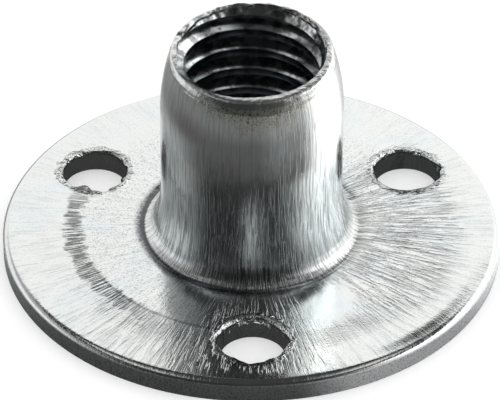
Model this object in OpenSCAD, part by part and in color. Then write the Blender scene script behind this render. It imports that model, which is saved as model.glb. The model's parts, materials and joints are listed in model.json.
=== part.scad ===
// Screw-on tee nut: a round flange and a threaded barrel, drawn in one piece from sheet steel.
// It stands on the back of its flange, with the barrel up. The origin is the middle of that back face.
// All sizes are in millimetres.

/* [Flange] */
// Diameter of the round flange
flange_d = 32; // [30:0.5:44]
// Thickness of the sheet
sheet_t = 1.5; // [1:0.1:2]
// Radial width of the rounding that shearing leaves on the rim's upper edge
rim_roll_w = 0.5; // [0.3:0.1:1.4]
// Depth of that rounding at the rim
rim_roll_drop = 0.3; // [0.15:0.05:0.8]

/* [Draw ring] */
// Diameter of the flat middle of the flange, up to the draw ring
ring_d = 22; // [18:0.5:26]
// Radial width of the draw ring's slope
ring_w = 0.9; // [0.4:0.1:1.5]
// Step down from the flat middle to the outer zone of the flange
ring_drop = 0.1; // [0.05:0.01:0.2]

/* [Barrel] */
// Height of the lip over the back of the flange, at its middle
height = 15; // [12:0.1:20]
// How much higher drawing leaves the lip on its +Y side than on its -Y side
lip_rise = 0.8; // [0:0.1:1.2]
// Outside diameter of the barrel
barrel_d = 11.6; // [11:0.1:13]
// Height of the slow sweep in which the wall starts to widen towards its foot
sweep_h = 2.66; // [2:0.01:4]
// How far that sweep runs out from the wall
sweep_out = 0.38; // [0.2:0.02:0.5]
// Radius of the bend that carries the sweep on into the flange
foot_r = 1.2; // [0.8:0.05:1.6]
// Slope from upright at which the bend meets the flange, in degrees
foot_turn = 73.74; // [50:0.01:80]
// Width of the crease that the die presses round the foot
crease_w = 0.4; // [0.2:0.05:0.6]
// Depth of that crease
crease_depth = 0.08; // [0.03:0.01:0.12]
// Height of the shoulder that curves in below the lip
shoulder_h = 4.4; // [3:0.1:6]
// How far the shoulder has drawn in at the lip
shoulder_in = 0.7; // [0.3:0.05:0.9]
// Width of the worn bevel on the lip's outer edge
lip_bevel_w = 0.05; // [0.02:0.01:0.3]
// Height of that bevel
lip_bevel_h = 0.05; // [0.02:0.01:0.4]

/* [Thread bore] */
// Diameter of the bore over the crests of the thread
bore_d = 8.5; // [8:0.1:9]
// Depth of the countersink at the mouth, below the middle of the lip
sink_depth = 0.75; // [0.3:0.05:0.8]
// Slope of the countersink's wall from the axis, in degrees
sink_slope = 30; // [20:5:40]
// Radius of the rounding that turns the back of the flange into the bore
back_r = 2.7; // [2:0.1:3.2]

/* [Screw holes] */
// Number of screw holes round the flange
hole_count = 3; // [2:1:4]
// Diameter of a screw hole
hole_d = 4.1; // [3:0.1:5]
// Distance from the rim in to the middle of a screw hole
hole_inset = 4.2; // [3.2:0.1:5]
// Radius of the rounding that piercing leaves on a hole's upper edge
hole_roll_r = 0.4; // [0.2:0.05:0.5]
// Part of that rounding that lies above the sheet, so that it meets the face at an edge
hole_roll_over = 0.03; // [0.01:0.01:0.05]
// Bearing of the first screw hole, from the +X axis
first_hole_angle = -90; // [-180:5:180]

/* [Hidden] */
$fn = 96;

zinc = [0.74, 0.76, 0.77];

// Spare length by which a cut runs past the faces that it opens
past = 1;

flange_r = flange_d / 2;
barrel_r = barrel_d / 2;
bore_r = bore_d / 2;
ring_r = ring_d / 2;
hole_r = hole_d / 2;
hole_circle_r = flange_r - hole_inset;

// The outer zone of the flange is coined lower than its middle
outer_t = sheet_t - ring_drop;

// One arc rounds the rim: level where it leaves the face, cut off by the rim's wall
rim_arc_r = (rim_roll_w * rim_roll_w + rim_roll_drop * rim_roll_drop) / (2 * rim_roll_drop);

// The foot: a wide arc sweeps out from the wall, and a tight one carries on at the same slope
// until it meets the flange at an angle, in the crease
sweep_arc_r = (sweep_h * sweep_h + sweep_out * sweep_out) / (2 * sweep_out);
sweep_sin = sweep_h / sweep_arc_r;
sweep_cos = 1 - sweep_out / sweep_arc_r;
sweep_r = barrel_r + sweep_out;
foot_z = sheet_t + foot_r * (sin(foot_turn) - sweep_sin);
foot_end_r = sweep_r + foot_r * (sweep_cos - cos(foot_turn));
crease_arc_r = (crease_w * crease_w / 4 + crease_depth * crease_depth) / (2 * crease_depth);
// The crease lies mostly outside the bend and takes off its thin end
crease_x = foot_end_r + 0.3 * crease_w;

// One wide arc draws the shoulder in from the wall to the lip
shoulder_z = height - shoulder_h;
shoulder_arc_r = (shoulder_h * shoulder_h + shoulder_in * shoulder_in) / (2 * shoulder_in);
lip_r = barrel_r - shoulder_in;

// The lip lies in a plane that leans up towards +Y, and the countersink runs up past it
lip_lean = atan(lip_rise / (2 * lip_r));
sink_z = height - sink_depth;
sink_top = height + lip_rise + past;

// In each half section x is the distance from the axis and y is the height

// Corner that shearing rounds off the rim
module rim_roll_section() {
    difference() {
        translate([flange_r - rim_roll_w, outer_t - rim_roll_drop])
            square([rim_roll_w + past, rim_roll_drop + past]);
        translate([flange_r - rim_roll_w, outer_t - rim_arc_r])
            circle(r = rim_arc_r);
    }
}

// Flat sheet with its coined outer zone and rounded rim
module flange_section() {
    difference() {
        polygon([
            [bore_r, 0],
            [flange_r, 0],
            [flange_r, outer_t],
            [ring_r + ring_w, outer_t],
            [ring_r, sheet_t],
            [bore_r, sheet_t]
        ]);
        rim_roll_section();
    }
}

// Wall of the barrel, with the shoulder that curves in past the height of the lip
module barrel_section() {
    translate([bore_r, 0])
        square([barrel_r - bore_r, shoulder_z]);
    intersection() {
        translate([bore_r, shoulder_z])
            square([barrel_r - bore_r, shoulder_h + lip_rise]);
        translate([barrel_r - shoulder_arc_r, shoulder_z])
            circle(r = shoulder_arc_r);
    }
}

// Foot that widens the barrel's wall into the flange
module foot_section() {
    difference() {
        translate([bore_r, foot_z])
            square([sweep_r - bore_r, sweep_h]);
        translate([barrel_r + sweep_arc_r, foot_z + sweep_h])
            circle(r = sweep_arc_r);
    }
    difference() {
        translate([bore_r, 0])
            square([foot_end_r - bore_r, foot_z]);
        translate([sweep_r + foot_r * sweep_cos, foot_z + foot_r * sweep_sin])
            circle(r = foot_r);
    }
}

// Round groove of the crease
module crease_section() {
    translate([crease_x, sheet_t - crease_depth + crease_arc_r])
        circle(r = crease_arc_r);
}

// Corner under the foot, where the back of the flange turns into the bore
module back_section() {
    difference() {
        translate([0, -past])
            square([bore_r + back_r, back_r + past]);
        translate([bore_r + back_r, back_r])
            circle(r = back_r);
    }
}

// Countersink that leads a bolt into the thread
module sink_section() {
    polygon([
        [0, sink_z - past],
        [bore_r - past * tan(sink_slope), sink_z - past],
        [bore_r + (sink_top - sink_z) * tan(sink_slope), sink_top],
        [0, sink_top]
    ]);
}

// Space over the lip and its worn outer edge, measured from the plane of the lip
module over_lip_section() {
    polygon([
        [0, 2 * lip_rise + past],
        [0, 0],
        [lip_r - lip_bevel_w, 0],
        [lip_r + past, -lip_bevel_h * (past + lip_bevel_w) / lip_bevel_w],
        [lip_r + past, 2 * lip_rise + past]
    ]);
}

module tee_nut_section() {
    difference() {
        union() {
            flange_section();
            foot_section();
            barrel_section();
        }
        crease_section();
        back_section();
        sink_section();
    }
}

// One screw hole with its rounded upper edge
module screw_hole() {
    roll_z = sheet_t + hole_roll_over - hole_roll_r;
    rotate_extrude()
        difference() {
            translate([0, -past])
                square([hole_r + hole_roll_r, sheet_t + hole_roll_over + past]);
            translate([hole_r + hole_roll_r, roll_z])
                circle(r = hole_roll_r);
            translate([hole_r, -2 * past])
                square([hole_roll_r + past, roll_z + 2 * past]);
        }
}

// The whole nut, as drawn and pierced from one sheet
module tee_nut() {
    color(zinc)
        difference() {
            rotate_extrude()
                tee_nut_section();
            translate([0, 0, height])
                rotate([lip_lean, 0, 0])
                    rotate_extrude()
                        over_lip_section();
            for (k = [0 : hole_count - 1])
                rotate([0, 0, first_hole_angle + k * 360 / hole_count])
                    translate([hole_circle_r, 0, 0])
                        screw_hole();
        }
}

tee_nut();
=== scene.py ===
"""Tee nut, drawn and pierced from zinc-plated sheet steel, on a pale studio floor."""
import json
import math

import bmesh
import bpy
from bpy.props import FloatProperty, FloatVectorProperty, IntProperty, PointerProperty
from mathutils import Matrix, Vector


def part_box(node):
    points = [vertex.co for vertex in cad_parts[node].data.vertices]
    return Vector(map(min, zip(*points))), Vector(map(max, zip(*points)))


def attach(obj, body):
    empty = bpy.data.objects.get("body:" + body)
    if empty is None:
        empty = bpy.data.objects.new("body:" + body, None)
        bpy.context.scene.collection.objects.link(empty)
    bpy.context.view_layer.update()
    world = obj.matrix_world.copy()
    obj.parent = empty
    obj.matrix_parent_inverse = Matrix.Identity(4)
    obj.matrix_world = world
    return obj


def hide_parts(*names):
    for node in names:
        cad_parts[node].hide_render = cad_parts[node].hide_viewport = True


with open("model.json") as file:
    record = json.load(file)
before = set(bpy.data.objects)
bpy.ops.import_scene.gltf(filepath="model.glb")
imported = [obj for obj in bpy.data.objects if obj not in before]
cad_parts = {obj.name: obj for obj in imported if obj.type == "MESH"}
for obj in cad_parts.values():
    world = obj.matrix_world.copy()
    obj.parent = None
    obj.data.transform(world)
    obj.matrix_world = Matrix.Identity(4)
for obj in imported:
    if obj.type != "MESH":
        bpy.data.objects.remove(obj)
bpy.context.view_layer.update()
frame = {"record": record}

bl_info = {
    "name": "Tee Nut",
    "version": (1, 0, 0),
    "blender": (4, 5, 0),
    "location": "View3D > Sidebar > Tee Nut",
    "description": "Models a screw-on tee nut and the studio it stands in",
    "category": "Add Mesh",
}

MM = 0.001
# Points closer together than this are one point
WELD = 1e-7
# Length by which a cutting tool runs past what it cuts
PAST = 1.0 * MM
WHITE = (1, 1, 1, 1)
_, NUT_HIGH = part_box("tee_nut")
MOUNTS = {mount["name"]: mount["dims"] for mount in frame["record"]["mounts"]}
ZINC = frame["record"]["materials"][0]["base_color"]

# Steel that the blank keeps inside the bore for the tap to take
TAP_ALLOWANCE = 0.45 * MM
# Part of the crease's width by which its middle lies outside the foot's bend
CREASE_SHIFT = 0.3
# Radius of the crease round the foot, for its finish and its painted shade, in millimetres
CREASE_R = 7.0

# Bearing of the first screw hole about the axis, in degrees, and the steps round a hole
FIRST_HOLE = -90
HOLE_STEPS = 128
# Steps in one turn of the thread
THREAD_STEPS = 120

# Rough marks that cutting leaves: name, then grain and height in millimetres, and the level that stays put
LIP_MARKS = (("torn", 0.9, 0.3, 0.35), ("nicked", 0.28, 0.1, 0.5))
MOUTH_MARKS = (("torn", 0.8, 0.35, 0.45), ("nicked", 0.25, 0.1, 0.45))
HOLE_MARKS = (("torn", 1.1, 0.14, 0.42), ("nicked", 0.35, 0.05, 0.45))

# Tears at the upper edge of each screw hole, from the first one on: bearing about the hole in degrees,
# then in millimetres the height at which the tear starts, how far it goes outwards, and its reach
TEARS = (
    (
        (175, 1.45, 0.2, 1.0), (5, 1.45, 0.2, 1.0), (-60, 1.3, -0.12, 0.6),
        (-95, 1.3, 0.12, 0.5), (-125, 1.3, -0.12, 0.6),
    ),
    (
        (100, 1.45, 0.15, 1.0), (10, 1.45, 0.3, 0.8), (-20, 1.45, 0.2, 0.8),
    ),
    (
        (60, 1.45, 0.12, 1.2), (-110, 1.3, -0.5, 0.7), (-72, 1.4, 0.3, 0.6), (-20, 1.1, -0.25, 0.5),
    ),
)


def length(name, description, millimetres):
    """A size property, given in millimetres and kept in metres."""
    return FloatProperty(
        name=name, description=description, default=millimetres * MM,
        precision=6, subtype="DISTANCE", unit="LENGTH",
    )


def angle(name, description, degrees):
    """An angle property, given in degrees."""
    return FloatProperty(
        name=name, description=description, default=math.radians(degrees), subtype="ANGLE", unit="ROTATION"
    )


def tone(name, description, colour):
    """A colour property."""
    return FloatVectorProperty(name=name, description=description, default=colour, subtype="COLOR", size=3)


def spot(name, description, place):
    """A place in the studio, in metres."""
    return FloatVectorProperty(
        name=name, description=description, default=place, subtype="XYZ", unit="LENGTH", size=3
    )


class NutSizes(bpy.types.PropertyGroup):
    """Sizes of the nut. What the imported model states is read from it."""

    flange_r: FloatProperty(
        name="Flange radius", description="Radius of the round flange",
        default=NUT_HIGH.x, precision=6, subtype="DISTANCE", unit="LENGTH",
    )
    height: length("Height", "Height of the lip over the back of the flange, at its middle", 15.0)
    lip_rise: length("Lip rise", "How much higher the lip is at the back than at the front", 0.8)
    barrel_r: length("Barrel radius", "Outside radius of the barrel", MOUNTS["barrel"]["r_mm"])
    bore_r: length("Bore radius", "Radius over the crests of the thread", MOUNTS["thread"]["r_mm"])
    hole_r: length("Hole radius", "Radius of a screw hole", MOUNTS["screw_holes"]["hole_r_mm"])
    hole_circle_r: length(
        "Hole circle radius", "Distance from the axis to a screw hole", MOUNTS["screw_holes"]["pcd_mm"] / 2
    )
    hole_count: IntProperty(
        name="Screw holes", description="Number of screw holes", default=MOUNTS["screw_holes"]["count"]
    )
    sheet_t: length("Sheet thickness", "Thickness of the flange's middle", 1.5)
    outer_t: length("Outer thickness", "Thickness of the coined outer zone", 1.4)
    ring_r: length("Draw ring radius", "Radius of the flat middle, up to the draw ring", 11.0)
    ring_w: length("Draw ring width", "Radial width of the draw ring's slope", 2.3)
    rim_roll_w: length("Rim roll width", "Radial width of the rounding at the rim", 0.5)
    rim_roll_drop: length("Rim roll drop", "Depth of the rounding at the rim", 0.3)
    dish_drop: length("Rim dish", "How far the rim is pressed down at the right of the front", 0.1)
    sweep_h: length("Sweep height", "Height of the slow sweep above the foot's bend", 2.66)
    sweep_out: length("Sweep width", "How far the sweep runs out from the barrel's wall", 0.38)
    foot_r: length("Foot radius", "Radius of the bend that carries the sweep into the flange", 1.2)
    foot_turn: angle("Foot turn", "Slope from upright at which the bend meets the flange", 73.74)
    crease_w: length("Crease width", "Width of the crease round the foot", 0.4)
    crease_depth: length("Crease depth", "Depth of the crease round the foot", 0.035)
    back_r: length("Back radius", "Radius that turns the back of the flange into the bore", 2.7)
    shoulder_h: length("Shoulder height", "Height of the shoulder below the lip", 4.4)
    shoulder_in: length("Shoulder draw", "How far the shoulder draws in at the lip", 0.7)
    crown_r: length("Lip crown", "Radius of the lip's rounded crown", 1.2)
    lip_round: length("Lip rounding", "Radius of the lip's worn outer edge", 0.3)
    sink_depth: length("Countersink depth", "Depth of the countersink below the lip's middle", 0.75)
    sink_slope: angle("Countersink slope", "Slope of the countersink's wall from the axis", 30)
    hole_roll_r: length("Hole roll", "Radius of the rounding on a hole's upper edge", 0.4)
    hole_roll_over: length("Hole roll over", "Part of that rounding above the sheet", 0.03)
    pitch: length("Thread pitch", "Rise of the thread in one turn", 1.5)
    thread_r: length("Thread root radius", "Radius at the bottom of the thread's groove", 5.0)
    runout_bearing: angle("Thread end", "Bearing at which the groove reaches the lip's middle height", 266)
    round_steps: IntProperty(
        name="Steps round", description="Steps in a full turn of the body", default=320, min=48, max=480
    )


class ZincFinish(bpy.types.PropertyGroup):
    """Colours of the plating."""

    zinc: tone("Zinc", "Colour of the bright plating", ZINC)
    cool: tone("Cool tint", "Bluish tint of the plating", (0.68, 0.75, 0.76))
    warm: tone("Warm tint", "Yellowish tint of the plating", (0.79, 0.79, 0.755))
    sheared: tone("Sheared steel", "Colour of the sheared rim", (0.78, 0.79, 0.8))
    # The groove colour also paints shade in the crease, on the draw ring, at the toe, on the lower barrel and
    # at the back of the lip
    groove: tone("Groove", "Colour in the bottom of the draw lines", (0.1, 0.105, 0.11))
    bore: tone("Bore", "Colour of the dull crests and the mouth inside", (0.42, 0.47, 0.5))
    stained: tone("Stain", "Yellowish stain below the lip", (0.7, 0.7, 0.52))


class StudioSettings(bpy.types.PropertyGroup):
    """Camera and light of the studio."""

    camera_place: spot("Camera", "Place of the camera", (-0.00201, -0.19034, 0.1464))
    camera_aim: spot("Aim", "Point in the middle of the picture", (-0.0001, -0.00017, 0.00353))
    camera_roll: angle("Roll", "Tilt of the camera to its side", 0.24)
    lens: FloatProperty(
        name="Lens", description="Focal length on a 36 mm sensor", default=267.3, unit="CAMERA"
    )
    floor: tone("Floor", "Colour of the pale floor", (0.8, 0.8, 0.8))
    sky: FloatProperty(name="Sky", description="Strength of the white surroundings", default=1.0)


def rest_selection():
    """Leaves edit mode with nothing selected."""
    if bpy.context.mode != "OBJECT":
        bpy.ops.object.mode_set(mode="OBJECT")
    bpy.ops.object.select_all(action="DESELECT")


def take(piece):
    """Makes one object the active and only selected one."""
    rest_selection()
    piece.select_set(True)
    bpy.context.view_layer.objects.active = piece


def work(piece, name, kind, **settings):
    """Gives the piece a modifier with these settings, and applies it."""
    take(piece)
    modifier = piece.modifiers.new(name, kind)
    for key, value in settings.items():
        setattr(modifier, key, value)
    bpy.ops.object.modifier_apply(modifier=name)


def cut(piece, cutter, name):
    """Takes the cutter out of the piece and removes the cutter."""
    work(piece, name, "BOOLEAN", operation="DIFFERENCE", solver="EXACT", object=cutter)
    bpy.data.objects.remove(cutter)
    if not piece.data.polygons:
        raise RuntimeError(f"Cutting the {name} left nothing of {piece.name}")


def soft(value, low, high):
    """0 below low, 1 above high, and a smooth step between them."""
    t = min(1.0, max(0.0, (value - low) / (high - low)))
    return t * t * (3 - 2 * t)


def arc(centre, radius, start, end, steps):
    """Points on an arc of the half section, angles in degrees."""
    points = []
    for k in range(steps + 1):
        a = math.radians(start + (end - start) * k / steps)
        points.append((centre[0] + radius * math.cos(a), centre[1] + radius * math.sin(a)))
    return points


def run(start, end, steps):
    """Points on a straight line of the half section, without its first point."""
    return [
        (start[0] + (end[0] - start[0]) * k / steps, start[1] + (end[1] - start[1]) * k / steps)
        for k in range(1, steps + 1)
    ]


def meet(centre, radius, other, other_radius):
    """The left one of the two points in which two circles of the half section meet."""
    a, b = Vector(centre), Vector(other)
    gap = b - a
    along = (radius ** 2 - other_radius ** 2 + gap.length_squared) / (2 * gap.length)
    aside = math.sqrt(radius ** 2 - along ** 2)
    middle = a + gap.normalized() * along
    across = Vector((-gap.y, gap.x)).normalized() * aside
    return min(middle + across, middle - across, key=lambda point: point.x)


def bearing_of(centre, point):
    """Angle in degrees, from 0 to 360, at which a point is seen from a centre."""
    return math.degrees(math.atan2(point[1] - centre[1], point[0] - centre[0])) % 360


def draw_wire(name, points):
    """A wire in the XZ plane, drawn by extruding one vertex from point to point. Stays in edit mode."""
    rest_selection()
    bpy.ops.mesh.primitive_plane_add(size=MM)
    wire = bpy.context.object
    wire.name = wire.data.name = name
    bpy.ops.object.mode_set(mode="EDIT")
    bpy.ops.mesh.select_all(action="SELECT")
    bpy.ops.mesh.merge(type="CENTER")
    bpy.ops.transform.translate(value=(points[0][0], 0, points[0][1]))
    for here, there in zip(points, points[1:]):
        step = (there[0] - here[0], 0, there[1] - here[1])
        bpy.ops.mesh.extrude_region_move(TRANSFORM_OT_translate={"value": step})
    bpy.ops.mesh.select_all(action="SELECT")
    return wire


def close_shell():
    """Merges what coincides in the mesh that is being edited and turns its faces outwards."""
    bpy.ops.mesh.select_all(action="SELECT")
    bpy.ops.mesh.remove_doubles(threshold=WELD)
    bpy.ops.mesh.normals_make_consistent(inside=False)


def spin_wire(wire, steps, centre=(0, 0, 0)):
    """Turns the drawn wire into a closed round shell."""
    bpy.ops.mesh.spin(steps=steps, angle=math.tau, center=centre, axis=(0, 0, 1))
    close_shell()
    rest_selection()
    return wire


def weigh(piece, name, weight):
    """A vertex group whose weights come from each vertex's place."""
    group = piece.vertex_groups.new(name=name)
    for vertex in piece.data.vertices:
        group.add([vertex.index], weight(vertex.co), "REPLACE")


def roughen(piece, group, marks):
    """Displaces the vertices of a group along their normals by one cloud texture for each kind of mark."""
    for name, grain, height, level in marks:
        clouds = bpy.data.textures.new(name, "CLOUDS")
        clouds.noise_scale = grain * MM
        clouds.noise_depth = 1
        clouds.noise_basis = "ORIGINAL_PERLIN"
        work(
            piece, name, "DISPLACE", texture=clouds, texture_coords="LOCAL",
            vertex_group=group, strength=height * MM, mid_level=level,
        )
        bpy.data.textures.remove(clouds)


def push(piece, spots):
    """Pulls the surface about a spot, with a soft border. Each spot is its place, move and reach."""
    take(piece)
    bpy.ops.object.mode_set(mode="EDIT")
    bpy.ops.mesh.select_mode(type="VERT")
    for place, move, reach in spots:
        bpy.ops.mesh.select_all(action="DESELECT")
        mesh = bmesh.from_edit_mesh(piece.data)
        nearest = min(mesh.verts, key=lambda vertex: (vertex.co - Vector(place)).length_squared)
        nearest.select_set(True)
        mesh.select_flush_mode()
        bmesh.update_edit_mesh(piece.data)
        bpy.ops.transform.translate(
            value=move, use_proportional_edit=True, proportional_edit_falloff="SMOOTH", proportional_size=reach
        )
    rest_selection()


def hole_bearing(k, s):
    """Bearing of a screw hole about the axis, in radians."""
    return math.radians(FIRST_HOLE + k * 360 / s.hole_count)


def drawn_section(s):
    """Closed outline of the nut's half section, untrimmed at the lip and with a tight bore for the tap."""
    tight_r = s.bore_r - TAP_ALLOWANCE
    rim_arc_r = (s.rim_roll_w ** 2 + s.rim_roll_drop ** 2) / (2 * s.rim_roll_drop)
    rim_angle = math.degrees(math.asin(s.rim_roll_w / rim_arc_r))
    sweep_r = (s.sweep_h ** 2 + s.sweep_out ** 2) / (2 * s.sweep_out)
    sweep_turn = math.asin(s.sweep_h / sweep_r)
    foot_z = s.sheet_t + s.foot_r * (math.sin(s.foot_turn) - math.sin(sweep_turn))
    sweep = (s.barrel_r + sweep_r, foot_z + s.sweep_h)
    bend = (
        s.barrel_r + s.sweep_out + s.foot_r * math.cos(sweep_turn),
        foot_z + s.foot_r * math.sin(sweep_turn),
    )
    crease_r = (s.crease_w ** 2 / 4 + s.crease_depth ** 2) / (2 * s.crease_depth)
    crease_x = bend[0] - s.foot_r * math.cos(s.foot_turn) + CREASE_SHIFT * s.crease_w
    crease = (crease_x, s.sheet_t - s.crease_depth + crease_r)
    crease_end = (crease[0] + s.crease_w / 2, s.sheet_t)
    toe = meet(bend, s.foot_r, crease, crease_r)
    back = (s.bore_r + s.back_r, s.back_r)
    shoulder_z = s.height - s.shoulder_h
    shoulder_r = (s.shoulder_h ** 2 + s.shoulder_in ** 2) / (2 * s.shoulder_in)
    top = s.height + s.lip_rise
    crown = math.degrees(math.asin((top - shoulder_z) / shoulder_r))

    outline = [(back[0], 0.0)]
    outline += run(outline[-1], (s.flange_r, 0.0), 6)
    outline += run(outline[-1], (s.flange_r, s.outer_t - s.rim_roll_drop), 6)
    outline += arc((s.flange_r - s.rim_roll_w, s.outer_t - rim_arc_r), rim_arc_r, 90 - rim_angle, 90, 12)[1:]
    outline += run(outline[-1], (s.ring_r + s.ring_w, s.outer_t), 16)
    outline += run(outline[-1], (s.ring_r, s.sheet_t), 3)
    outline += run(outline[-1], crease_end, 9)
    outline += arc(crease, crease_r, bearing_of(crease, crease_end), bearing_of(crease, toe), 10)[1:]
    slope = 180 + math.degrees(sweep_turn)
    outline += arc(bend, s.foot_r, bearing_of(bend, toe), slope, 14)[1:]
    outline += arc(sweep, sweep_r, slope, 180, 14)[1:]
    outline += run(outline[-1], (s.barrel_r, shoulder_z), 16)
    outline += arc((s.barrel_r - shoulder_r, shoulder_z), shoulder_r, 0, crown, 20)[1:]
    outline += run(outline[-1], (tight_r, top), 3)
    outline += run(outline[-1], (tight_r, s.back_r), 14)
    outline += run(outline[-1], (s.bore_r, s.back_r), 2)
    outline += arc(back, s.back_r, 180, 270, 14)[1:]
    return outline


def draw_body(s):
    """The blank as it comes out of the press: flange, foot and barrel in one shell."""
    body = draw_wire("tee_nut_body", drawn_section(s))
    return spin_wire(body, s.round_steps)


def dish_rim(body, s):
    """Presses the rim down a little at the right of the front."""
    level_r, pressed_r = s.flange_r - 1.3 * MM, s.flange_r - 0.4 * MM
    still_z, pressed_z = 0.3 * MM, 0.9 * MM

    def pressed(co):
        r = co.xy.length
        if r <= s.ring_r:
            return 0.0
        side = soft(-co.y / r, 0.1, 0.4) * soft(co.x / r, 0.4, 0.75)
        return side * soft(r, level_r, pressed_r) * soft(co.z, still_z, pressed_z)

    weigh(body, "pressed", pressed)
    work(
        body, "pressed", "DISPLACE", direction="Z", vertex_group="pressed",
        strength=-s.dish_drop, mid_level=0.0,
    )


def trim_lip(body, s):
    """Takes off what stands over the leaning, torn and rounded lip."""
    crown_out = 0.46 * MM
    # Slopes in degrees: the crown's inner and outer end, and the end of the worn edge
    inner_turn, crown_turn, edge_turn = 2, 12, 58
    torn_top, torn_r = 0.1 * MM, s.bore_r - 0.4 * MM

    lean = math.atan(s.lip_rise / (2 * (s.barrel_r - s.shoulder_in)))
    crown = (s.bore_r + crown_out, -s.crown_r)
    gap = s.crown_r - s.lip_round
    lean_out = math.radians(crown_turn)
    rounding = (crown[0] + gap * math.sin(lean_out), crown[1] + gap * math.cos(lean_out))
    top = 2 * s.lip_rise + PAST
    crest = arc(crown, s.crown_r, 90 + inner_turn, 90 - crown_turn, 8)
    profile = [(0, crest[0][1])]
    profile += run(profile[-1], crest[0], 6)
    profile += crest[1:]
    profile += arc(rounding, s.lip_round, 90 - crown_turn, 90 - edge_turn, 8)[1:]
    edge = profile[-1]
    profile += run(edge, (edge[0] + PAST, edge[1] - PAST * math.tan(math.radians(edge_turn))), 16)
    profile += run(profile[-1], (edge[0] + PAST, top), 2)
    profile += run(profile[-1], (0, top), 2)
    trim = spin_wire(draw_wire("trim", profile), s.round_steps)

    def torn(co):
        """Most at the back left, and none over the bore or above the lip."""
        if co.z >= torn_top or co.xy.length <= torn_r:
            return 0.0
        return 0.2 + 0.8 * soft(co.y - 0.3 * co.x, 0.5 * MM, 3.5 * MM)

    weigh(trim, "torn", torn)
    roughen(trim, "torn", LIP_MARKS)
    take(trim)
    trim.location = (0, 0, s.height)
    trim.rotation_euler = (lean, 0, 0)
    bpy.ops.object.transform_apply(location=True, rotation=True, scale=False)
    cut(body, trim, "lip")


def sink_mouth(body, s):
    """Opens the mouth with a torn cone that leads a bolt into the thread."""
    foot = s.height - s.sink_depth
    top = s.height + s.lip_rise + PAST
    slope = math.tan(s.sink_slope)
    foot_r = s.bore_r - PAST * slope
    profile = [(0, foot - PAST)]
    profile += run(profile[-1], (foot_r, foot - PAST), 2)
    profile += run(profile[-1], (s.bore_r + (top - foot) * slope, top), 36)
    profile += run(profile[-1], (0, top), 2)
    sink = spin_wire(draw_wire("countersink", profile), s.round_steps)

    def torn(co):
        """More at the back than at the front, and none in the middle of the tool."""
        if co.xy.length <= foot_r:
            return 0.0
        return soft(co.z, foot, s.height) * (0.3 + 0.7 * soft(co.y, -1.0 * MM, 3.0 * MM))

    weigh(sink, "torn", torn)
    roughen(sink, "torn", MOUTH_MARKS)
    cut(body, sink, "countersink")


def pierce_holes(body, s):
    """Screw holes with the torn, rounded upper edge that the punch leaves."""
    clean_z, torn_z = 0.55 * MM, 1.05 * MM
    wall_r = 0.9 * s.hole_r
    roll_z = s.sheet_t + s.hole_roll_over - s.hole_roll_r
    top = s.sheet_t + PAST
    profile = [(0, -PAST)]
    profile += run(profile[-1], (s.hole_r, -PAST), 2)
    profile += run(profile[-1], (s.hole_r, roll_z), 16)
    profile += arc((s.hole_r + s.hole_roll_r, roll_z), s.hole_roll_r, 180, 90, 10)[1:]
    profile += run(profile[-1], (s.hole_r + s.hole_roll_r, top), 2)
    profile += run(profile[-1], (0, top), 2)
    punches = []
    for k in range(s.hole_count):
        bearing = hole_bearing(k, s)
        place = Vector((s.hole_circle_r * math.cos(bearing), s.hole_circle_r * math.sin(bearing), 0))
        wire = draw_wire(f"punch_{k}", profile)
        bpy.ops.transform.translate(value=place)
        punch = spin_wire(wire, HOLE_STEPS, place)

        def torn(co):
            return soft(co.z, clean_z, torn_z) if (co - place).xy.length > wall_r else 0.0

        weigh(punch, "edge", torn)
        roughen(punch, "edge", HOLE_MARKS)
        spots = []
        for degrees, level, out, reach in TEARS[k % len(TEARS)]:
            a = math.radians(degrees)
            outward = Vector((math.cos(a), math.sin(a), 0))
            start = place + outward * s.hole_r + Vector((0, 0, level * MM))
            spots.append((start, outward * out * MM, reach * MM))
        push(punch, spots)
        punches.append(punch)
    take(punches[0])
    for punch in punches:
        punch.select_set(True)
    bpy.ops.object.join()
    cut(body, punches[0], "screw holes")


def cap_tap(tap, side, reach, middle_z):
    """Draws one open end of the tap out to a point. The side is -1 for its foot and 1 for its head."""
    bpy.ops.object.mode_set(mode="EDIT")
    bpy.ops.mesh.select_all(action="SELECT")
    bpy.ops.mesh.remove_doubles(threshold=WELD)
    bpy.ops.mesh.select_all(action="DESELECT")
    bpy.ops.mesh.select_mode(type="EDGE")
    mesh = bmesh.from_edit_mesh(tap.data)
    for edge in mesh.edges:
        z = (edge.verts[0].co.z + edge.verts[1].co.z) / 2
        edge.select_set(edge.is_boundary and (z - middle_z) * side > 0)
    bmesh.update_edit_mesh(tap.data)
    bpy.ops.mesh.extrude_region_move(TRANSFORM_OT_translate={"value": (0, 0, side * reach)})
    bpy.ops.mesh.merge(type="CENTER")
    bpy.ops.mesh.select_mode(type="VERT")


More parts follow.
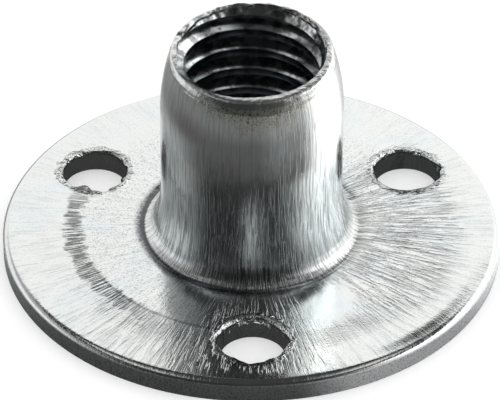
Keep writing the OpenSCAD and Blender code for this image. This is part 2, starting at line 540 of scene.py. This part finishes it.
def tap_bore(body, s):
    """Cuts the right-hand thread with a tap that runs out at the lip."""
    # Length over which a corner of the thread is eased, its rise there, and the step in its middle
    ease = 0.05 * MM
    ease_rise = ease * 0.62
    ease_step = 0.012 * MM
    # How far the tap starts below the back of the nut, and the length of its points
    run_in, point = 1.6 * MM, 2 * MM

    crest, root = s.bore_r, s.thread_r
    flank = (root - crest) * math.tan(math.radians(30))
    root_w = s.pitch / 8
    edge = (s.pitch - root_w) / 2 - flank
    profile = [(crest, 0.0), (crest, edge - ease)]
    profile += [(crest + ease_step, edge), (crest + ease, edge + ease_rise)]
    profile += run(profile[-1], (root - ease, edge + flank - ease_rise), 4)
    profile += [(root - ease_step, edge + flank), (root, edge + flank + ease)]
    profile += [(r, s.pitch - z) for r, z in reversed(profile)]
    middle = s.height - s.pitch * s.runout_bearing / math.tau - s.pitch / 2
    turns_below = math.ceil((middle + run_in) / s.pitch)
    start = middle - turns_below * s.pitch
    tap = draw_wire("tap", [(r, start + z) for r, z in profile])
    work(
        tap, "thread", "SCREW", axis="Z", angle=math.tau, screw_offset=s.pitch,
        iterations=turns_below + 2, steps=THREAD_STEPS, render_steps=THREAD_STEPS,
    )
    for side in (-1, 1):
        cap_tap(tap, side, point, s.height / 2)
    close_shell()
    cut(body, tap, "thread")


class Wire:
    """A socket of a node tree. Sums and products of wires add Math nodes."""

    def __init__(self, tree, socket):
        self.tree = tree
        self.socket = socket

    @staticmethod
    def node(tree, kind, settings=None, inputs=None, output=0):
        """Adds a node: its settings first, then the values or wires of its sockets."""
        node = tree.nodes.new(kind)
        for key, value in (settings or {}).items():
            setattr(node, key, value)
        for key, value in (inputs or {}).items():
            if isinstance(value, Wire):
                tree.links.new(value.socket, node.inputs[key])
            else:
                node.inputs[key].default_value = value
        return Wire(tree, node.outputs[output]) if node.outputs else None

    def maths(self, operation, *values):
        return Wire.node(self.tree, "ShaderNodeMath", {"operation": operation}, dict(enumerate(values)))

    def __add__(self, other):
        return self.maths("ADD", self, other)

    __radd__ = __add__

    def __sub__(self, other):
        return self.maths("SUBTRACT", self, other)

    def __rsub__(self, other):
        return self.maths("SUBTRACT", other, self)

    def __mul__(self, other):
        return self.maths("MULTIPLY", self, other)

    __rmul__ = __mul__

    def __neg__(self):
        return self.maths("MULTIPLY", self, -1.0)

    def __truediv__(self, other):
        return self.maths("DIVIDE", self, other)

    def __rtruediv__(self, other):
        return self.maths("DIVIDE", other, self)

    def __pow__(self, other):
        return self.maths("POWER", self, other)

    def least(self, other):
        return self.maths("MINIMUM", self, other)

    def rise(self, low, high):
        """0 below low, 1 above high, and a smooth step between them."""
        return Wire.node(
            self.tree, "ShaderNodeMapRange", {"interpolation_type": "SMOOTHSTEP"},
            {0: self, 1: low, 2: high, 3: 0.0, 4: 1.0},
        )

    def band(self, low, high, border):
        """1 between low and high, falling to 0 over a soft border."""
        return self.rise(low - border, low) * (1 - self.rise(high, high + border))

    def blend(self, other, share):
        """This number, going over to the other one by the share."""
        return self * (1 - share) + share * other

    def vector(self, operation, other, socket=1):
        return Wire.node(self.tree, "ShaderNodeVectorMath", {"operation": operation}, {0: self, socket: other})

    def axes(self):
        """The three parts of a place."""
        return [Wire.node(self.tree, "ShaderNodeSeparateXYZ", None, {0: self}, k) for k in range(3)]

    def mix(self, other, factor):
        """This colour, going over to the other one by the factor."""
        return Wire.node(
            self.tree, "ShaderNodeMix", {"data_type": "RGBA"}, {0: factor, 6: self, 7: other}, 2
        )


def empty_material(name):
    """A material without nodes, its tree, and the place on the piece that wears it."""
    material = bpy.data.materials.new(name)
    material.use_nodes = True
    tree = material.node_tree
    tree.nodes.clear()
    return material, tree, Wire.node(tree, "ShaderNodeTexCoord", output=3)


def hole_edges(x, y, s):
    """Distance to the middle of the nearest screw hole, and 1 on the side of a hole that faces the front."""
    from_hole = near_side = None
    for k in range(s.hole_count):
        bearing = hole_bearing(k, s)
        middle_x = s.hole_circle_r / MM * math.cos(bearing)
        middle_y = s.hole_circle_r / MM * math.sin(bearing)
        away = ((x - middle_x) ** 2 + (y - middle_y) ** 2) ** 0.5
        near = ((middle_y - y) / away).rise(0.7, 0.95) * (1 - away.rise(3.0, 3.3))
        from_hole = away if from_hole is None else from_hole.least(away)
        near_side = near if near_side is None else near_side + near
    return from_hole, near_side


def zinc_material(finish, s):
    """Bright zinc over drawn steel: radial and upright draw lines, rough lip, sheared rim and torn holes."""
    material, tree, metres = empty_material("zinc_steel")
    height, flange_r, ring_r, sheet_t = (size / MM for size in (s.height, s.flange_r, s.ring_r, s.sheet_t))
    bore_r, thread_r, back_r, hole_r = (size / MM for size in (s.bore_r, s.thread_r, s.back_r, s.hole_r))
    lip_lean = s.lip_rise / (2 * (s.barrel_r - s.shoulder_in))

    def add(kind, settings=None, inputs=None, output=0):
        return Wire.node(tree, kind, settings, inputs, output)

    def rgb(colour):
        return (*colour, 1.0)

    # Places in millimetres, and directions from the axis
    place = metres.vector("SCALE", 1 / MM, 3)
    x, y, z = place.axes()
    r = (x * x + y * y) ** 0.5
    to_right, to_back, to_front = x / r, y / r, -y / r
    bearing = place.vector("MULTIPLY", (1, 1, 0)).vector("NORMALIZE", (0, 0, 0))
    along = z - r
    over_lip = z - height - y * lip_lean
    from_hole, near_side = hole_edges(x, y, s)

    def streaks(count, stretch, detail, shift=0.0):
        """Lines that run up the barrel and out over the flange."""
        drift = add("ShaderNodeCombineXYZ", None, {0: shift, 1: shift, 2: along * stretch})
        where = add(
            "ShaderNodeVectorMath", {"operation": "MULTIPLY_ADD"},
            {0: bearing, 1: (count, count, count), 2: drift},
        )
        return add("ShaderNodeTexNoise", None, {"Vector": where, "Scale": 1.0, "Detail": detail})

    def mottle(scale):
        """Spots that run in no direction."""
        return add("ShaderNodeTexNoise", None, {"Vector": place, "Scale": scale, "Detail": 2.0})

    # Lines and spots that the marks are made of
    fine = streaks(80.0, 0.4, 1.0).rise(0.54, 0.62)
    medium = streaks(36.0, 0.4, 1.0, 7.0).rise(0.56, 0.62)
    hatch = streaks(84.0, 0.5, 2.0, 3.0).rise(0.4, 0.6)
    rubbed = streaks(64.0, 0.6, 2.0, 5.0).rise(0.5, 0.58)
    scored = streaks(76.0, 0.5, 2.0, 9.0).rise(0.5, 0.6)
    broad = streaks(9.0, 0.15, 1.0, 13.0)
    grain, patches, cloud = mottle(9.0), mottle(1.6), mottle(0.45)
    waver = patches - 0.5

    # Regions of the barrel, each 1 inside and 0 outside
    bore = 1 - r.rise(thread_r - 0.05, thread_r + 0.05)
    bore = bore * (1 - over_lip.rise(-0.35, -0.2)) * z.rise(back_r - 0.1, back_r)
    outside = 1 - bore
    crest = 1 - r.rise(bore_r + 0.03, bore_r + 0.09)
    barrel = z.rise(sheet_t + 0.2, sheet_t + 1.1) * outside
    lower = barrel * (1 - z.rise(6.5, 10.0))
    aside = (x * x).rise(2.0, 9.0)
    # The lower barrel where it faces front or back: rougher, and darker by painted shade
    lower_front = lower * (1 - aside)
    toe = (1 - z.rise(sheet_t + 0.7, sheet_t + 1.3)) * r.band(CREASE_R - 0.9, CREASE_R - 0.1, 0.2)
    lip = over_lip.rise(-0.5, -0.3) * outside
    # The back right of the lip, darker by painted shade
    lip_back_shade = lip * y.rise(0.0, 2.0) * x.rise(-1.0, 1.0)
    pitted = (over_lip + 1.9 - x * x * 0.09 + waver * 1.2).rise(-0.3, 1.2)
    pitted = pitted * (-y).rise(1.0, 3.5) * barrel * (1 - lip)

    # Regions of the flange
    flange = 1 - z.rise(sheet_t + 0.05, sheet_t + 0.2)
    rim = r.rise(flange_r - 0.06, flange_r - 0.02)
    edge = (from_hole + waver * 0.9).band(hole_r + 0.04, hole_r + 0.45, 0.1)
    edge = edge * flange * z.rise(1.15, 1.3)
    # Darker just outside the side of each hole that faces the front
    near_edge_dark = (1 - (from_hole + waver).rise(hole_r + 0.55, hole_r + 0.85)) * near_side * flange
    near_edge_dark = near_edge_dark * z.rise(0.9, 1.1) * (0.3 + 0.7 * (grain * 0.5 + patches * 0.5).rise(0.42, 0.56))
    # Painted shade in the crease round the foot, most at the left
    crease = r.rise(CREASE_R - 0.2, CREASE_R - 0.05) * flange
    crease = crease * (1 - (r + (grain - 0.5) * 0.9).rise(CREASE_R + 0.1, CREASE_R + 0.7))
    crease = crease * (0.2 + 0.8 * (-x).rise(-2.0, 2.5))
    inner = flange * (1 - r.rise(ring_r - 0.5, ring_r + 1.5)) * r.rise(CREASE_R + 0.2, CREASE_R + 0.8)
    # A hatched band on the draw ring at the left: real marks, darkened there by painted shade
    left_ring = (r + waver * 1.2).band(ring_r + 0.2, ring_r + 0.8, 0.5) * flange
    left_ring = left_ring * (-x).rise(5.5, 8.5) * (-y).rise(-4.5, -1.5)
    # Painted shade along the draw ring at the front left
    ring_line_shade = r.band(ring_r - 0.05, ring_r + 0.1, 0.08) * flange
    ring_line_shade = ring_line_shade * (-y).rise(3.0, 7.0) * (1 - x.rise(-3.0, 1.0))
    front = flange * (1 - (x * x / (r * r)).rise(0.02, 0.16)) * (-y).rise(5.0, 7.0)
    front = front * (1 - edge) * (1 - r.rise(flange_r - 1.4, flange_r - 0.6))
    calm = (((x - 4.6) ** 2 + (y + 8.3) ** 2) ** 0.5 + waver * 2.0).rise(1.4, 2.4)
    worn_right = to_right.rise(0.5, 0.85) * (1 - to_back.rise(0.55, 0.8))
    worn_right = worn_right * (1 - r.rise(flange_r - 3.8, flange_r - 1.4))
    worn_left = to_front.rise(0.5, 0.8) * (1 - to_right.rise(-0.3, 0.0)) * r.rise(ring_r - 0.5, ring_r + 0.5)
    worn = calm * flange * (worn_right + worn_left * 0.35)

    # Relief in millimetres
    lines = (fine * 0.6 + medium * 0.6).least(1.0) * outside * (1 - lip) * (1 - rim) * calm
    hatch = hatch * left_ring
    rubbed = rubbed * worn
    depth = 0.002 + barrel * 0.003 + lower * 0.006 + worn * 0.008 + toe * 0.008
    rough = 0.001 + lip * 0.02 + pitted * 0.022 + flange * 0.004 + edge * 0.03
    relief = broad * outside * 0.012 + grain * rough + patches * (lip * aside * 0.06 + edge * 0.15)
    relief = relief - lines * depth - hatch * 0.015 - rubbed * 0.006 - scored * front * 0.012
    relief = relief + cloud * 0.02
    normal = add("ShaderNodeBump", None, {"Strength": 1.0, "Distance": MM, "Height": relief})

    # Dirt in the marks, a darker patch at the front of each hole, and painted shade in the crease, on the draw
    # ring, at the toe, on the lower barrel and at the back of the lip
    specks = grain.rise(0.55, 0.63) * (inner * calm * 0.25 + flange * calm * 0.1 + pitted * 0.8)
    chips = (1 - grain.rise(0.4, 0.5)) * (edge * 0.7 + rim * 0.4)
    groove = lines * (barrel * 0.25 + lower * 0.25 + worn * 0.2 + toe * 0.3 + 0.03)
    groove = groove + hatch * 0.8 + rubbed * 0.3 + crease + specks + chips + near_edge_dark * 0.9 + ring_line_shade * 0.4
    # Painted shade at the front of the toe, on the lower barrel and at the back of the lip
    groove = groove + lower_front * 0.22 + toe * (-y).rise(5.0, 6.3) * 0.6 + lip_back_shade * 0.5

    # Colour, gloss and metal
    tint = (cloud * 0.5 + 0.3).rise(0.35, 0.65) * (1 - lower)
    colour = add(
        "ShaderNodeMix", {"data_type": "RGBA"}, {0: tint, 6: rgb(finish.cool), 7: rgb(finish.warm)}, 2
    )
    colour = colour.mix(rgb(finish.zinc), 0.4)
    colour = colour.mix(rgb(finish.stained), pitted * grain.rise(0.4, 0.6))
    colour = colour.mix(rgb(finish.sheared), rim)
    colour = colour.mix(rgb(finish.groove), groove.least(1.0))
    colour = colour.mix(rgb(finish.bore), bore * (0.3 + crest * 0.7))
    colour = colour.mix(rgb(finish.groove), bore * patches.rise(0.46, 0.6) * 0.7)
    roughness = 0.1 + lines * 0.1 + lip * 0.1 + pitted * 0.2 + rim * 0.45 + bore * 0.1 + toe * 0.12
    roughness = roughness + barrel * 0.02 + lower_front * 0.1
    # Less metal on the right of the rim, so that it shows lighter there: painted light
    metal = 1 - rim * to_right.rise(0.15, 0.45) * 0.4
    plating = add("ShaderNodeBsdfPrincipled", None, {
        "Base Color": colour, "Metallic": metal, "Roughness": roughness, "Normal": normal, "Anisotropic": 0.3,
    })
    add("ShaderNodeOutputMaterial", None, {"Surface": plating})
    return material


class TEENUT_OT_body(bpy.types.Operator):
    """Draw, pierce and tap the nut, and plate it with zinc"""

    bl_idname = "teenut.body"
    bl_label = "Tee Nut Body"

    def execute(self, context):
        s = context.scene.tee_nut_sizes
        body = draw_body(s)
        dish_rim(body, s)
        trim_lip(body, s)
        sink_mouth(body, s)
        pierce_holes(body, s)
        tap_bore(body, s)
        take(body)
        bpy.ops.object.shade_smooth_by_angle(angle=math.radians(26))
        body.data.materials.clear()
        body.data.materials.append(zinc_material(context.scene.tee_nut_finish, s))
        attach(body, "root")
        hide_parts("tee_nut")
        return {"FINISHED"}


def tent_level(place):
    """White behind and at the right, grey at the left, dark towards the camera, with a lamp overhead.

    The lamp is dark in its middle, and a dark gap lies between it and the cloth."""
    x, y, z = place.vector("NORMALIZE", (0, 0, 0)).axes()
    away = y / (x * x + y * y) ** 0.5
    low, high = 1 - z.rise(0.4, 0.55), z.rise(0.3, 0.5)
    left = 0.035 + (0.42 + 0.6 * low) * away.rise(-0.65, 0.2)
    left = left.blend(1.15, away.rise(0.8, 0.95))
    right = 0.045 + (1.2 + 1.0 * high) * away.rise(-0.85, 0.1)
    right = right.blend(1.2, away.rise(0.6, 0.95))
    cloth = left.blend(right, x.rise(-0.05, 0.05))
    cloth = cloth.blend(0.04, z.rise(0.675, 0.74))
    lamp = 0.05 + (x * x).rise(0.04, 0.25)
    return cloth.blend(lamp, z.rise(0.82, 0.88))


def card_level(place):
    """Dark under the nut and in front of it, grey at the left, white at the right and behind.

    A spot of light lies under the first screw hole."""
    rim_r = NUT_HIGH.x / MM
    spot_y = -MOUNTS["screw_holes"]["pcd_mm"] / 2 - 0.6
    x, y, _ = place.vector("SCALE", 1 / MM, 3).axes()
    r = (x * x + y * y) ** 0.5
    away = y / r
    front = 0.06 + 0.05 * r.rise(rim_r + 0.5, rim_r + 5.0) + 0.1 * r.rise(rim_r + 9.0, rim_r + 29.0)
    front = front + 0.3 * away.rise(-0.65, 0.2) * (1 - r.rise(rim_r + 0.5, rim_r + 10.0))
    left = front + 0.16 * away.rise(-0.2, 0.8)
    left = left.blend(1.0, away.rise(0.8, 0.95))
    right = front + 0.14 * (x / r).rise(0.1, 0.5) * r.rise(rim_r + 0.5, rim_r + 6.0)
    right = right + 1.8 * away.rise(-0.62, 0.05)
    right = right.blend(0.7, away.rise(0.4, 0.8))
    card = left.blend(right, x.rise(-2.0, 2.0))
    card = card.blend(0.05, 1 - r.rise(rim_r - 0.2, rim_r + 0.4))
    from_spot = (x * x + (y - spot_y) ** 2) ** 0.5
    return card.blend(1.2, 1 - from_spot.rise(0.7, 1.2))


def glow_material(name, level):
    """White glow whose level is worked out from the place on the piece."""
    material, tree, place = empty_material(name)
    shade = level(place)
    grey = Wire.node(tree, "ShaderNodeCombineColor", None, {0: shade, 1: shade, 2: shade})
    glow = Wire.node(tree, "ShaderNodeEmission", None, {"Color": grey, "Strength": 1.0})
    Wire.node(tree, "ShaderNodeOutputMaterial", None, {"Surface": glow})
    return material


def floor_material(studio):
    """Pale floor that looks white to the camera and in the metal, and keeps the nut's shadow."""
    material, tree, _ = empty_material("pale_floor")
    lift = 0.3
    camera, glossy, through = (Wire.node(tree, "ShaderNodeLightPath", output=k) for k in (0, 3, 6))
    show = (camera + glossy + through).least(1.0)
    matt = Wire.node(tree, "ShaderNodeBsdfDiffuse", None, {"Color": (*studio.floor, 1.0)})
    glow = Wire.node(tree, "ShaderNodeEmission", None, {"Color": WHITE, "Strength": lift})
    lifted = Wire.node(tree, "ShaderNodeAddShader", None, {0: matt, 1: glow})
    floor = Wire.node(tree, "ShaderNodeMixShader", None, {0: show, 1: matt, 2: lifted})
    Wire.node(tree, "ShaderNodeOutputMaterial", None, {"Surface": floor})
    return material


def furnish(name, material, drop):
    """Names the flat piece that was just added, lowers its mesh and covers it."""
    piece = bpy.context.object
    piece.name = piece.data.name = name
    bpy.ops.object.mode_set(mode="EDIT")
    bpy.ops.mesh.select_all(action="SELECT")
    bpy.ops.transform.translate(value=(0, 0, -drop))
    rest_selection()
    piece.data.materials.append(material)
    return piece


def reflect_only(piece):
    """Shows a piece of the studio in the metal and nowhere else."""
    piece.visible_camera = False
    piece.visible_diffuse = False
    piece.visible_shadow = False
    piece.visible_transmission = False


def light_world(scene, studio):
    """White surroundings that light the nut softly."""
    world = bpy.data.worlds.new("studio")
    world.use_nodes = True
    background = world.node_tree.nodes["Background"]
    background.inputs["Color"].default_value = WHITE
    background.inputs["Strength"].default_value = studio.sky
    scene.world = world


def lay_floor(studio):
    """The pale floor, a hair below the nut and the card."""
    rest_selection()
    bpy.ops.mesh.primitive_plane_add(size=3.0, location=(0, 0, 0))
    floor = furnish("floor", floor_material(studio), 0.02 * MM)


def lay_card():
    """Round card on the floor that the barrel, the rim and the hole walls mirror."""
    rest_selection()
    bpy.ops.mesh.primitive_circle_add(vertices=96, radius=0.5, fill_type="TRIFAN")
    reflect_only(furnish("floor_card", glow_material("floor_card", card_level), 0.01 * MM))


def pitch_tent():
    """Half a sphere of cloth over the nut, open just below the floor."""
    rest_selection()
    bpy.ops.mesh.primitive_uv_sphere_add(segments=64, ring_count=32, radius=0.6)
    tent = bpy.context.object
    tent.name = tent.data.name = "light_tent"
    bpy.ops.object.mode_set(mode="EDIT")
    bpy.ops.mesh.select_all(action="SELECT")
    bpy.ops.mesh.bisect(plane_co=(0, 0, -2 * MM), plane_no=(0, 0, 1), clear_inner=True)
    rest_selection()
    tent.data.materials.append(glow_material("tent_cloth", tent_level))
    reflect_only(tent)


def set_camera(scene, studio):
    """Aims the camera and rolls it a little to its side."""
    lens = bpy.data.cameras.new("camera")
    lens.sensor_width = 36.0
    lens.lens = studio.lens
    lens.clip_start, lens.clip_end = 0.01, 10.0
    camera = bpy.data.objects.new("camera", lens)
    scene.collection.objects.link(camera)
    place = Vector(studio.camera_place)
    look = (Vector(studio.camera_aim) - place).normalized()
    right = look.cross(Vector((0, 0, 1))).normalized()
    up = right.cross(look)
    c, t = math.cos(studio.camera_roll), math.sin(studio.camera_roll)
    turn = Matrix((right * c + up * t, up * c - right * t, -look)).transposed().to_4x4()
    camera.matrix_world = Matrix.Translation(place) @ turn
    scene.camera = camera


class TEENUT_OT_stage(bpy.types.Operator):
    """Set up the pale floor, the soft light and the camera"""

    bl_idname = "teenut.stage"
    bl_label = "Studio"

    def execute(self, context):
        scene = context.scene
        studio = scene.tee_nut_studio
        scene.view_settings.view_transform = "Standard"
        light_world(scene, studio)
        lay_floor(studio)
        pitch_tent()
        lay_card()
        set_camera(scene, studio)
        return {"FINISHED"}


class TEENUT_PT_panel(bpy.types.Panel):
    """Tee nut tools"""

    bl_idname = "TEENUT_PT_panel"
    bl_label = "Tee Nut"
    bl_space_type = "VIEW_3D"
    bl_region_type = "UI"
    bl_category = "Tee Nut"

    def draw(self, context):
        for name, group in GROUPS.items():
            settings = getattr(context.scene, name)
            column = self.layout.column(align=True)
            for setting in group.__annotations__:
                column.prop(settings, setting)
        self.layout.operator(TEENUT_OT_body.bl_idname)
        self.layout.operator(TEENUT_OT_stage.bl_idname)


GROUPS = {"tee_nut_sizes": NutSizes, "tee_nut_finish": ZincFinish, "tee_nut_studio": StudioSettings}
CLASSES = (*GROUPS.values(), TEENUT_OT_body, TEENUT_OT_stage, TEENUT_PT_panel)


def register():
    for cls in CLASSES:
        bpy.utils.register_class(cls)
    for name, group in GROUPS.items():
        setattr(bpy.types.Scene, name, PointerProperty(type=group))


def unregister():
    for name in GROUPS:
        delattr(bpy.types.Scene, name)
    for cls in reversed(CLASSES):
        bpy.utils.unregister_class(cls)


def main():
    register()
    bpy.ops.teenut.body()
    bpy.ops.teenut.stage()


if __name__ == "__main__":
    main()
